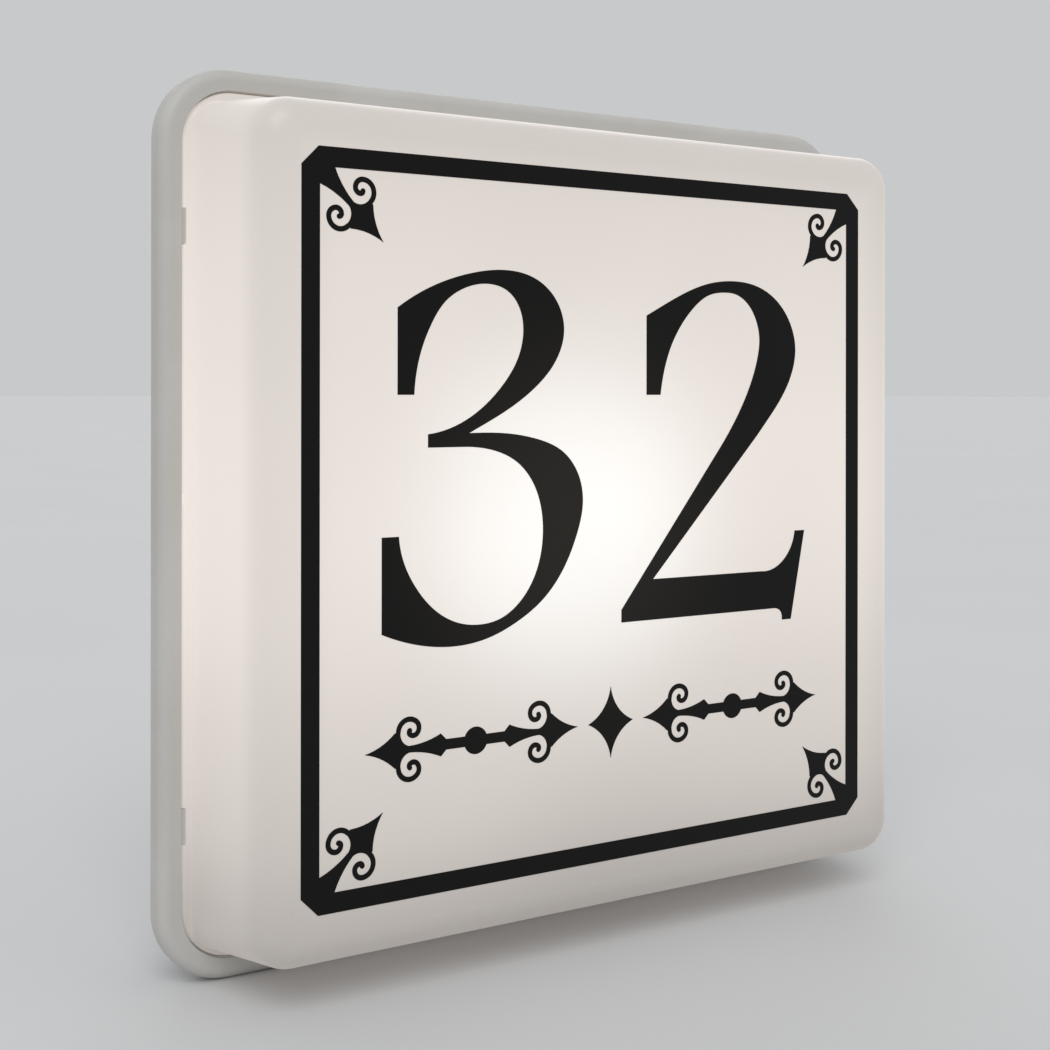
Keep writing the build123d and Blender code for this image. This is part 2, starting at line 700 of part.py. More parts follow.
# threaded shell: thin metal pressed into a wave of thread depth and pitch
shell_bottom = core_top
shell_top = shell_bottom + shell_height
shell_crest = cap_crest + shell_gap
with BuildPart() as thread_shell:
    with BuildSketch(lamp_plane):
        with BuildLine():
            start = (shell_crest, shell_bottom)
            Line(start, (shell_outer, shell_bottom))
            Line((shell_outer, shell_bottom), (shell_outer, shell_top))
            Line((shell_outer, shell_top), (shell_crest, shell_top))
            lands = int(shell_height / thread_pitch)
            land = (shell_height - lands * thread_pitch) / 2
            Line((shell_crest, shell_top), (shell_crest, shell_top - land))
            for turn in range(lands):
                top = shell_top - land - turn * thread_pitch
                Spline(
                    (shell_crest, top),
                    (shell_crest + thread_depth, top - thread_pitch / 2),
                    (shell_crest, top - thread_pitch),
                    tangents=[(0, -1), (0, -1)],
                )
            Line((shell_crest, shell_bottom + land), start)
        make_face()
    revolve(axis=lamp_axis)
hand_in(thread_shell.part, "thread_shell")

with BuildPart() as centre_contact:
    with BuildSketch(at_height(bulb_tip)):
        Circle(plunger_head_radius)
    extrude(amount=-plunger_head)
    chamfer(centre_contact.faces().sort_by(Axis.Z)[-1].edges(), plunger_chamfer)
    with BuildSketch(at_height(bulb_tip - plunger_head)):
        Circle(plunger_stem_radius)
    extrude(amount=-plunger_stem)
hand_in(centre_contact.part, "centre_contact")

hand_in(
    slotted_screws(
        holder_screws_at,
        Plane(origin=(0, -lamp_depth, shelf_bottom), x_dir=(1, 0, 0), z_dir=(0, 0, -1)),
        screw_radius,
        bracket_thickness + screw_bite - screw_spare,
    ),
    "holder_screws",
)

# ================================================================ bulb
neck_z = -neck_drop
cap_z = bulb_tip + cap_top
neck_radius = sqrt(bulb_radius**2 - neck_z**2)
with BuildPart() as bulb_contact:
    with BuildSketch(lamp_plane):
        with BuildLine():
            Line((0, bulb_tip), (0, bulb_tip + button_height))
            Line((0, bulb_tip + button_height), (contact_radius, bulb_tip + button_height))
            Line((contact_radius, bulb_tip + button_height), (contact_radius, bulb_tip + button_height / 2))
            Spline(
                (contact_radius, bulb_tip + button_height / 2),
                (contact_radius * 0.7, bulb_tip + button_crown),
                (0, bulb_tip),
                tangents=[(0, -1), (-1, 0)],
            )
        make_face()
    revolve(axis=lamp_axis)
hand_in(bulb_contact.part, "bulb_contact")

with BuildPart() as bulb_insulator:
    with BuildSketch(lamp_plane):
        Polygon(
            (0, bulb_tip + button_height),
            (contact_radius + insulator_edge, bulb_tip + button_height),
            (cap_inner - cap_lip, bulb_tip + insulator_top - insulator_edge),
            (cap_inner - cap_lip, bulb_tip + insulator_top),
            (0, bulb_tip + insulator_top),
            align=None,
        )
    revolve(axis=lamp_axis)
hand_in(bulb_insulator.part, "bulb_insulator")

with BuildPart() as bulb_cap:
    thread_root = cap_crest - thread_depth
    thread_bottom = bulb_tip + insulator_top + cap_lip
    with BuildSketch(lamp_plane):
        with BuildLine():
            cap_foot = (cap_inner - cap_lip, bulb_tip + insulator_top)
            Polyline(
                (thread_root, thread_bottom),
                (cap_foot[0] + cap_lip / 2, cap_foot[1] - insulator_edge),
                (cap_foot[0], cap_foot[1] - insulator_edge),
                cap_foot,
                (cap_inner, thread_bottom),
                (cap_inner, cap_z),
                (thread_root, cap_z),
                (thread_root, thread_bottom + thread_turns * thread_pitch),
            )
            for turn in range(thread_turns):
                top = thread_bottom + (thread_turns - turn) * thread_pitch
                Spline(
                    (thread_root, top),
                    (cap_crest, top - thread_pitch / 2),
                    (thread_root, top - thread_pitch),
                    tangents=[(0, -1), (0, -1)],
                )
        make_face()
    revolve(axis=lamp_axis)
hand_in(bulb_cap.part, "bulb_cap")

board_face = neck_z - board_below_neck
board_seat = board_face - board_thickness
# the flare draws in below the neck, and the board's seat stands a wall's thickness inside it
seat_radius = neck_radius + (neck_z - board_seat) * neck_z / neck_radius - body_wall
board_radius = seat_radius - board_ledge / 2
with BuildPart() as bulb_body:
    with BuildSketch(lamp_plane):
        with BuildLine():
            body_foot = (cap_crest + body_overlap, cap_z)
            body_top = (neck_radius, neck_z)
            # the flare runs on into the dome, so it leaves along the dome's tangent
            flare_end = (
                neck_radius + body_flare * neck_z / bulb_radius,
                neck_z - body_flare * neck_radius / bulb_radius,
            )
            Bezier(body_foot, (body_foot[0], cap_z + body_flare), flare_end, body_top)
            Polyline(
                body_top,
                (neck_radius - body_wall, neck_z),
                (seat_radius, board_seat),
                (board_radius - board_ledge, board_seat),
            )
            Bezier(
                (board_radius - board_ledge, board_seat),
                (flare_end[0] - body_wall - board_ledge, flare_end[1]),
                (body_foot[0] - body_wall, cap_z + body_flare),
                (body_foot[0] - body_wall, cap_z),
            )
            Line((body_foot[0] - body_wall, cap_z), body_foot)
        make_face()
    revolve(axis=lamp_axis)
hand_in(bulb_body.part, "bulb_body")

with BuildPart() as bulb_board:
    with BuildSketch(at_height(board_seat)):
        Circle(board_radius)
        Circle(board_hole, mode=Mode.SUBTRACT)
    extrude(amount=board_thickness)
hand_in(bulb_board.part, "bulb_board")

with BuildPart() as bulb_leds:
    with BuildSketch(at_height(board_face)):
        with PolarLocations(board_radius * 0.7, led_count):
            Rectangle(led_size, led_size)
    extrude(amount=led_height)
hand_in(bulb_leds.part, "bulb_leds")

with BuildPart() as bulb_driver:
    driver_bottom = bulb_tip + insulator_top + driver_gap
    with BuildSketch(lamp_plane.offset(-board_thickness / 2)):
        with Locations((0, (driver_bottom + bulb_tip + driver_top) / 2)):
            Rectangle(driver_width, bulb_tip + driver_top - driver_bottom)
    extrude(amount=board_thickness)
    with BuildSketch(lamp_plane.offset(board_thickness / 2)):
        with Locations(*[(x, cap_z + z) for x, z in driver_cans]):
            Circle(driver_can_radius)
    extrude(amount=driver_can_height)
hand_in(bulb_driver.part, "bulb_driver")

with BuildPart() as bulb_dome:
    with BuildSketch(lamp_plane):
        with BuildLine():
            inner = bulb_radius - dome_wall
            inner_neck = sqrt(inner**2 - neck_z**2)
            ThreePointArc((neck_radius, neck_z), (bulb_radius, 0), (0, bulb_radius))
            Line((0, bulb_radius), (0, inner))
            ThreePointArc((0, inner), (inner, 0), (inner_neck, neck_z))
            Line((inner_neck, neck_z), (neck_radius, neck_z))
        make_face()
    revolve(axis=lamp_axis)
hand_in(bulb_dome.part, "bulb_dome")

# ================================================================ terminal block
pole_places = []
for pole in range(pole_count):
    pole_places.append(electrics_x + (pole - (pole_count - 1) / 2) * pole_pitch)
pole_screws_at = []
for x in pole_places:
    pole_screws_at.append((x, block_z - block_length / 4))
    pole_screws_at.append((x, block_z + block_length / 4))

with BuildPart() as terminal_block:
    # a round barrel for each pole on a common strip, with a screw tower on top of each end
    with BuildSketch(Plane.XY.offset(block_bottom)):
        with Locations(*[(x, -pole_depth) for x in pole_places]):
            Circle(insert_radius + barrel_wall)
        with Locations((electrics_x, -plinth_top - block_height / 4)):
            Rectangle(block_width - 2 * strip_inset, block_height / 2)
    extrude(amount=block_length)
    with BuildSketch(at_depth(pole_depth)):
        with Locations(*pole_screws_at):
            Circle(pole_round)
    extrude(amount=block_height / 2)
    with BuildSketch(Plane.XY.offset(block_bottom)):
        with Locations(*[(x, -pole_depth) for x in pole_places]):
            Circle(insert_radius)
    extrude(amount=block_length, mode=Mode.SUBTRACT)
    with BuildSketch(at_depth(pole_depth)):
        with Locations(*pole_screws_at):
            Circle(pole_screw_radius + pole_screw_room)
    extrude(amount=block_height / 2, mode=Mode.SUBTRACT)
    with BuildSketch(at_depth(plinth_top)):
        with Locations(*block_screws_at):
            Circle(screw_hole)
    extrude(amount=block_height, mode=Mode.SUBTRACT)
    with BuildSketch(at_depth(plinth_top + block_height / 2)):
        with Locations(*block_screws_at):
            Circle(head_radius + head_room)
    extrude(amount=block_height, mode=Mode.SUBTRACT)
hand_in(terminal_block.part, "terminal_block")

with BuildPart() as terminal_inserts:
    with BuildSketch(Plane.XY.offset(block_bottom + insert_inset)):
        with Locations(*[(x, -pole_depth) for x in pole_places]):
            Circle(insert_radius)
            Circle(insert_bore, mode=Mode.SUBTRACT)
    extrude(amount=block_length - 2 * insert_inset)
    with BuildSketch(at_depth(pole_depth)):
        with Locations(*pole_screws_at):
            Circle(pole_screw_radius)
    extrude(amount=insert_radius, mode=Mode.SUBTRACT)
hand_in(terminal_inserts.part, "terminal_inserts")

with BuildPart() as terminal_screws:
    with BuildSketch(at_depth(pole_depth + pole_screw_start)):
        with Locations(*pole_screws_at):
            Circle(pole_screw_radius)
    extrude(amount=block_height / 2 - pole_screw_start - pole_screw_sunk)
    with BuildSketch(at_depth(pole_depth + block_height / 2 - pole_screw_sunk - slot_depth)):
        with Locations(*pole_screws_at):
            Rectangle(2 * pole_screw_radius, slot_width)
    extrude(amount=slot_depth, mode=Mode.SUBTRACT)
hand_in(terminal_screws.part, "terminal_screws")

hand_in(
    slotted_screws(
        block_screws_at,
        at_depth(plinth_top + block_height / 2),
        screw_radius,
        block_height / 2 + screw_bite - screw_spare,
    ),
    "block_screws",
)

# ================================================================ cable entry and clamp
with BuildPart() as cable_grommet:
    with BuildSketch(Plane.YZ.offset(electrics_x)):
        Polygon(
            (0, entry_z + grommet_bore),
            (0, entry_z + entry_radius + grommet_lip),
            (-grommet_lip_height, entry_z + entry_radius + grommet_lip),
            (-grommet_lip_height, entry_z + entry_radius),
            (-entry_pad, entry_z + entry_radius),
            (-entry_pad, entry_z + entry_radius + grommet_barb),
            (-entry_pad - grommet_barb_edge, entry_z + entry_radius + grommet_barb),
            (-entry_pad - grommet_barb_foot, entry_z + entry_radius),
            (-grommet_snout, entry_z + grommet_bore + grommet_snout_wall),
            (-grommet_snout, entry_z + grommet_bore),
            align=None,
        )
    revolve(axis=Axis((electrics_x, 0, entry_z), (0, 1, 0)))
hand_in(cable_grommet.part, "cable_grommet")

clamp_length = 2 * (clamp_screw_offset + boss_radius)
with BuildPart() as cable_clamp:
    with BuildSketch(at_depth(clamp_boss_top)):
        with Locations((electrics_x, clamp_z)):
            RectangleRounded(clamp_length, clamp_bar_width, clamp_corner)
    extrude(amount=clamp_bar_thickness)
    with BuildSketch(at_depth(clamp_boss_top)):
        with Locations(*clamp_screws_at):
            Circle(screw_hole)
    extrude(amount=clamp_bar_thickness, mode=Mode.SUBTRACT)
    # teeth that bite the sheath
    with BuildSketch(at_depth(clamp_boss_top)):
        with Locations((electrics_x, clamp_z)):
            with GridLocations(1, clamp_bar_width / clamp_teeth, 1, clamp_teeth):
                Rectangle(clamp_screw_offset, clamp_tooth_width)
    extrude(amount=-clamp_tooth)
hand_in(cable_clamp.part, "cable_clamp")

hand_in(
    slotted_screws(
        clamp_screws_at,
        at_depth(clamp_boss_top + clamp_bar_thickness),
        screw_radius,
        clamp_bar_thickness + screw_bite - screw_spare,
    ),
    "clamp_screws",
)

# ================================================================ leads from block to holder
# Each lead leaves a pole downwards, swings under the shelf and rises into the holder.


def lead(pole_x, end_x, pass_z):
    """Insulated lead from a pole of the block, down to a level run and up into the holder."""
    route = [
        (pole_x, -pole_depth, block_bottom),
        (pole_x, -pole_depth, block_bottom - lead_start),
        (pole_x + lead_slant, -pole_depth, pass_z + lead_rise),
        (pole_x + lead_reach, -pole_depth - lead_forward, pass_z),
        (end_x, -pole_depth - lead_front, pass_z),
        (end_x, -lamp_depth, pass_z),
        (end_x, -lamp_depth, shelf_top),
    ]
    with BuildPart() as wire:
        with BuildLine() as path:
            FilletPolyline(*route, radius=lead_bend)
        with BuildSketch(Plane(origin=path.line @ 0, z_dir=path.line % 0)):
            Circle(lead_radius)
        sweep()
    length = path.wires()[0].length
    tube = pi * lead_radius**2 * length
    print(f"lead {length:.1f} mm long, volume {wire.part.volume:.0f}, tube {tube:.0f}")
    return wire.part


hand_in(lead(pole_places[1], -lead_spread, lead_middle - lead_spacing / 2), "live_lead")
hand_in(lead(pole_places[2], lead_spread, lead_middle + lead_spacing / 2), "neutral_lead")

print("face size", face_size, "border", border_size, "sheet scale", sheet_scale, "front", face)
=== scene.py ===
"""Looks of an illuminated house number sign: a square opal wall light with a plotted number.

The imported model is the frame, in metres, with the front towards -Y. Its nodes keep their shapes
and get their finishes here. The bulb's screw cap and the shell that it screws into have plain
rings for threads there and real helical threads here, and small parts are added, such as the
bare wire ends in the terminals.
"""
import json
from math import atan2, cos, exp, hypot, pi, radians, tau

import bmesh
import bpy
from bpy.props import FloatProperty, FloatVectorProperty, IntProperty, PointerProperty
from mathutils import Matrix, Vector


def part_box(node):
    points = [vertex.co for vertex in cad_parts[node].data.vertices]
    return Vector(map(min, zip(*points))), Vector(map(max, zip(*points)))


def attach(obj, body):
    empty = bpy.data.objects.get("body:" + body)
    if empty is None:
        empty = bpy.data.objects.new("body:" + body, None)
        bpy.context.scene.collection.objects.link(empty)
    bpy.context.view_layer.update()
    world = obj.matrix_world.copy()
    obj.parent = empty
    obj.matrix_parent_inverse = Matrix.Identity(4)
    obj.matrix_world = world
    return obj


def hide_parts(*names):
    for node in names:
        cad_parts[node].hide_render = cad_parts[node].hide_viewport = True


bl_info = {
    "name": "House number sign",
    "version": (1, 0, 0),
    "blender": (4, 5, 0),
    "location": "View3D > Sidebar > Sign",
    "description": "Finishes the pieces of an illuminated house number sign and sets its stage",
    "category": "Object",
}

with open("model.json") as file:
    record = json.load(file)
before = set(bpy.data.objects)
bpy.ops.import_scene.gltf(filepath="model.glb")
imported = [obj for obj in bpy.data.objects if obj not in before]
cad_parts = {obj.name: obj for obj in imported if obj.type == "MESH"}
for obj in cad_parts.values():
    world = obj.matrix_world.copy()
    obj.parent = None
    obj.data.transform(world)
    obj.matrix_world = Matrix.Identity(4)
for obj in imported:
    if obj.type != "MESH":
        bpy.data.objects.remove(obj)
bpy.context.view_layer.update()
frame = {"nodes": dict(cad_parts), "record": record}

MM = 0.001


def colour(code):
    """The linear RGBA of an sRGB hex value."""
    channels = [int(code[start:start + 2], 16) / 255 for start in (0, 2, 4)]
    linear = [c / 12.92 if c <= 0.04045 else ((c + 0.055) / 1.055) ** 2.4 for c in channels]
    return (*linear, 1.0)


def middle(node):
    """The middle of a node's box."""
    low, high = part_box(node)
    return (low + high) / 2


face_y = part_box("cover")[0].y
cover_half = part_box("cover")[1].x
lamp = middle("bulb_cap")
thread_pitch = tau / frame["record"]["behaviour"]["couplings"][0]["ratio"]


# ---------------------------------------------------------------- sizes and colours to change
class GlowSettings(bpy.types.PropertyGroup):
    """How the lamp shows through the opal cover"""

    hot_spot: FloatVectorProperty(
        name="Hot spot",
        description="Brightest point of the cover",
        size=3,
        subtype="TRANSLATION",
        unit="LENGTH",
        default=(-18 * MM, face_y, -2 * MM),
    )
    hot_reach: FloatProperty(
        name="Hot spot's reach",
        description="Distance at which the hot spot has died away",
        unit="LENGTH",
        default=105 * MM,
    )
    level: FloatProperty(
        name="Level", description="Brightness of the cover away from the hot spot", default=0.60
    )
    hot_level: FloatProperty(
        name="Hot level", description="What the hot spot adds to the level", default=0.20
    )
    side_gain: FloatProperty(
        name="Side gain", description="How much brighter the walls are than the face", default=1.22
    )
    edge_level: FloatProperty(
        name="Edge level", description="Brightness along the soft edge of the face", default=0.85
    )
    tint: FloatVectorProperty(
        name="Tint",
        description="Colour of the light through the opal plastic",
        subtype="COLOR",
        size=4,
        min=0,
        max=1,
        default=colour("fff4ec"),
    )
    hot_tint: FloatVectorProperty(
        name="Hot tint",
        description="Colour of the light at the hot spot",
        subtype="COLOR",
        size=4,
        min=0,
        max=1,
        default=colour("fffdfa"),
    )


class PlasticSettings(bpy.types.PropertyGroup):
    """Colours of the plastics, rubber and film"""

    opal: FloatVectorProperty(
        name="Opal",
        description="The opal cover's own colour, under what shines through it",
        subtype="COLOR",
        size=4,
        min=0,
        max=1,
        default=colour("8e8c89"),
    )
    tray: FloatVectorProperty(
        name="Tray",
        description="The tray's white",
        subtype="COLOR",
        size=4,
        min=0,
        max=1,
        default=colour("c2c1be"),
    )
    film: FloatVectorProperty(
        name="Film",
        description="The black of the number and the border",
        subtype="COLOR",
        size=4,
        min=0,
        max=1,
        default=colour("0d0d0c"),
    )
    rubber: FloatVectorProperty(
        name="Rubber",
        description="The black of seal and grommet",
        subtype="COLOR",
        size=4,
        min=0,
        max=1,
        default=colour("222323"),
    )


class ThreadSettings(bpy.types.PropertyGroup):
    """The lamp's screw thread"""

    root: FloatProperty(
        name="Root radius",
        description="Of the cap, between threads",
        unit="LENGTH",
        default=12.2 * MM,
    )
    depth: FloatProperty(
        name="Depth", description="Of the thread, root to crest", unit="LENGTH", default=0.9 * MM
    )
    play: FloatProperty(
        name="Play", description="Between cap and shell", unit="LENGTH", default=0.3 * MM
    )
    sheet: FloatProperty(
        name="Sheet", description="Thickness of cap and shell", unit="LENGTH", default=0.4 * MM
    )
    row: FloatProperty(
        name="Row", description="Height of a row of the mesh", unit="LENGTH", default=0.3 * MM
    )
    steps: IntProperty(name="Steps", description="Faces round the thread", default=144)


class StageSettings(bpy.types.PropertyGroup):
    """Floor, light and camera"""

    camera_place: FloatVectorProperty(
        name="Camera",
        description="Where the camera stands",
        size=3,
        subtype="TRANSLATION",
        unit="LENGTH",
        default=(-314.8 * MM, -483.4 * MM, 40.7 * MM),
    )
    camera_turn: FloatProperty(
        name="Turn",
        description="Camera's turn from straight ahead",
        subtype="ANGLE",
        default=radians(31.55),
    )
    camera_roll: FloatProperty(
        name="Roll", description="Camera's roll", subtype="ANGLE", default=radians(0.066)
    )
    focal_pixels: FloatProperty(
        name="Focal length",
        description="Camera's focal length in pixels of the picture",
        default=1585.9,
    )
    axis_pixel: FloatVectorProperty(
        name="Optical axis",
        description="Pixel that the camera's axis passes through",
        size=2,
        default=(450.0, 392.0),
    )
    paper: FloatVectorProperty(
        name="Paper",
        description="Floor of the studio",
        subtype="COLOR",
        size=4,
        min=0,
        max=1,
        default=colour("d2d3d4"),
    )
    air: FloatVectorProperty(
        name="Air",
        description="Light from all round, which is also the background",
        subtype="COLOR",
        size=4,
        min=0,
        max=1,
        default=colour("c8c9ca"),
    )


# ---------------------------------------------------------------- materials
def finish(name, values):
    """A new material of one Principled surface with its even values set on the sockets, and
    the coordinates that its patterns follow."""
    material = bpy.data.materials.new(name)
    material.use_nodes = True
    tree = material.node_tree
    tree.nodes.new("ShaderNodeTexCoord").name = "place"
    surface = tree.nodes["Principled BSDF"]
    for socket, value in values.items():
        surface.inputs[socket].default_value = value
    return material, tree, surface


def add(tree, kind, inputs, **settings):
    """Add a node. An input is a value, or the output of another node that it is linked to."""
    node = tree.nodes.new(kind)
    for name, value in settings.items():
        setattr(node, name, value)
    for socket, value in inputs.items():
        if isinstance(value, bpy.types.NodeSocket):
            tree.links.new(value, node.inputs[socket])
        else:
            node.inputs[socket].default_value = value
    return node


def skin(tree, surface, size, height, detail=2.0, stretch=(1, 1, 1)):
    """Bumps all over the surface, of this size and height in metres, drawn out by stretch."""
    place = tree.nodes["place"].outputs["Object"]
    drawn = add(tree, "ShaderNodeMapping", {"Vector": place, "Scale": stretch}).outputs[0]
    pattern = {"Vector": drawn, "Scale": 1 / size, "Detail": detail}
    noise = add(tree, "ShaderNodeTexNoise", pattern)
    relief = {"Height": noise.outputs["Fac"], "Distance": height, "Strength": 1.0}
    bump = add(tree, "ShaderNodeBump", relief)
    tree.links.new(bump.outputs["Normal"], surface.inputs["Normal"])
    return noise.outputs["Fac"]


def blotches(tree, size, detail=3.0):
    """Soft blotches of this size, from 0 to 1."""
    place = tree.nodes["place"].outputs["Object"]
    pattern = {"Vector": place, "Scale": 1 / size, "Detail": detail, "Roughness": 0.6}
    noise = add(tree, "ShaderNodeTexNoise", pattern)
    return add(
        tree,
        "ShaderNodeMapRange",
        {0: noise.outputs["Fac"], 1: 0.35, 2: 0.65, 3: 0.0, 4: 1.0},
        interpolation_type="SMOOTHSTEP",
    ).outputs[0]


def vary(tree, surface, factor, first, second, rough=None):
    """Let colour, and with it roughness, wander between two values as a factor does."""
    mixed = add(tree, "ShaderNodeMix", {0: factor, 6: first, 7: second}, data_type="RGBA")
    tree.links.new(mixed.outputs[2], surface.inputs["Base Color"])
    if rough:
        reach = {0: factor, 1: 0.0, 2: 1.0, 3: rough[0], 4: rough[1]}
        spread = add(tree, "ShaderNodeMapRange", reach)
        tree.links.new(spread.outputs[0], surface.inputs["Roughness"])
    return mixed


def hot_spot(tree, glow):
    """1 at the hot spot, fading to 0 with the distance from it."""
    reach = add(
        tree,
        "ShaderNodeVectorMath",
        {0: tree.nodes["place"].outputs["Object"], 1: glow.hot_spot},
        operation="DISTANCE",
    )
    fade = add(
        tree,
        "ShaderNodeMapRange",
        {0: reach.outputs["Value"], 1: 0.0, 2: glow.hot_reach, 3: 1.0, 4: 0.0},
        interpolation_type="SMOOTHERSTEP",
    )
    sharpness = 1.4
    spot = add(tree, "ShaderNodeMath", {0: fade.outputs[0], 1: sharpness}, operation="POWER")
    return spot.outputs[0]


def opal_acrylic(glow, plastic):
    """Opal acrylic, vacuum formed and lit from behind. The lamp's light that its milky body spreads
    is painted on as glow: brightest before the bulb, even over the walls, dim along the soft edge and
    low down, where the lamp holder stands in the light. Its skin is satin."""
    material, tree, surface = finish(
        "formed_opal_acrylic",
        {
            "Base Color": plastic.opal,
            "Roughness": 0.34,
            "IOR": 1.49,
            "Specular IOR Level": 0.3,
            "Emission Strength": 1.0,
        },
    )
    axes = add(tree, "ShaderNodeSeparateXYZ", {0: tree.nodes["place"].outputs["Object"]}).outputs
    hot = hot_spot(tree, glow)
    level = add(
        tree,
        "ShaderNodeMath",
        {0: hot, 1: glow.hot_level, 2: glow.level},
        operation="MULTIPLY_ADD",
    ).outputs[0]
    # brightness from the foot of the cover to its top, as (height in metres, brightness)
    height_levels = (
        (-0.130, 0.42), (-0.118, 0.45), (-0.105, 0.54), (-0.089, 0.67), (-0.057, 0.82),
        (-0.020, 0.97), (0.020, 1.0), (0.062, 0.93), (0.092, 0.88), (0.118, 0.80), (0.130, 0.74),
    )
    low, high = height_levels[0][0], height_levels[-1][0]
    height = add(tree, "ShaderNodeMapRange", {0: axes["Z"], 1: low, 2: high, 3: 0.0, 4: 1.0})
    curve = add(tree, "ShaderNodeFloatCurve", {"Value": height.outputs[0]})
    points = curve.mapping.curves[0].points
    points[0].location = (0.0, height_levels[0][1])
    points[1].location = (1.0, height_levels[-1][1])
    for z, brightness in height_levels[1:-1]:
        points.new((z - low) / (high - low), brightness)
    curve.mapping.update()
    # distance from the middle, as a square grows: the soft edge lies at its end
    across = add(tree, "ShaderNodeMath", {0: axes["X"]}, operation="ABSOLUTE").outputs[0]
    upright = add(tree, "ShaderNodeMath", {0: axes["Z"]}, operation="ABSOLUTE").outputs[0]
    square = add(tree, "ShaderNodeMath", {0: across, 1: upright}, operation="MAXIMUM").outputs[0]
    edge = add(
        tree,
        "ShaderNodeMapRange",
        {0: square, 1: 100 * MM, 2: 125 * MM, 3: 1.0, 4: glow.edge_level},
        interpolation_type="SMOOTHSTEP",
    ).outputs[0]
    walls = add(
        tree,
        "ShaderNodeMapRange",
        {0: axes["Y"], 1: face_y + 1 * MM, 2: face_y + 16 * MM, 3: 1.0, 4: glow.side_gain},
        interpolation_type="SMOOTHSTEP",
    ).outputs[0]
    # light that the flange pipes out at its edge
    rim = add(
        tree,
        "ShaderNodeMapRange",
        {0: square, 1: cover_half - 1.2 * MM, 2: cover_half, 3: 1.0, 4: 1.06},
    ).outputs[0]
    # shadow of the lamp holder on the lower part of the face
    shade = add(
        tree,
        "ShaderNodeVectorMath",
        {0: tree.nodes["place"].outputs["Object"], 1: (0.0, face_y, -128 * MM)},
        operation="DISTANCE",
    )
    holder = add(
        tree,
        "ShaderNodeMapRange",
        {0: shade.outputs["Value"], 1: 15 * MM, 2: 75 * MM, 3: 0.92, 4: 1.0},
        interpolation_type="SMOOTHSTEP",
    ).outputs[0]
    # the sheet is a little thinner where it was drawn most, so the painted glow is a little brighter
    # there, in soft patches
    thickness = blotches(tree, 90 * MM, 1.0)
    draw = add(
        tree, "ShaderNodeMapRange", {0: thickness, 1: 0.0, 2: 1.0, 3: 0.985, 4: 1.015}
    ).outputs[0]
    for factor in (curve.outputs[0], edge, walls, rim, holder, draw):
        level = add(tree, "ShaderNodeMath", {0: level, 1: factor}, operation="MULTIPLY").outputs[0]
    tint = add(tree, "ShaderNodeMix", {0: hot, 6: glow.tint, 7: glow.hot_tint}, data_type="RGBA")
    light = add(
        tree, "ShaderNodeVectorMath", {0: tint.outputs[2], "Scale": level}, operation="SCALE"
    )
    tree.links.new(light.outputs["Vector"], surface.inputs["Emission Color"])
    # a vacuum-formed skin waves very slightly, which only its reflections show
    skin(tree, surface, 14 * MM, 0.05 * MM, 1.0)
    return material


def cast_film(glow, plastic):
    """Cast vinyl film, plotted and weeded: satin black, with a little of the glow behind it."""
    material, tree, surface = finish(
        "cast_vinyl_film",
        {
            "Base Color": plastic.film,
            "Roughness": 0.34,
            "Specular IOR Level": 0.15,
            "Emission Strength": 1.0,
        },
    )
    seen = add(
        tree,
        "ShaderNodeMix",
        {0: hot_spot(tree, glow), 6: colour("000000"), 7: colour("201c19")},
        data_type="RGBA",
    )
    tree.links.new(seen.outputs[2], surface.inputs["Emission Color"])
    # the film's orange peel, drawn coarser than its real 0.3 mm so that it shows
    skin(tree, surface, 1.2 * MM, 0.004 * MM, 1.0)
    return material


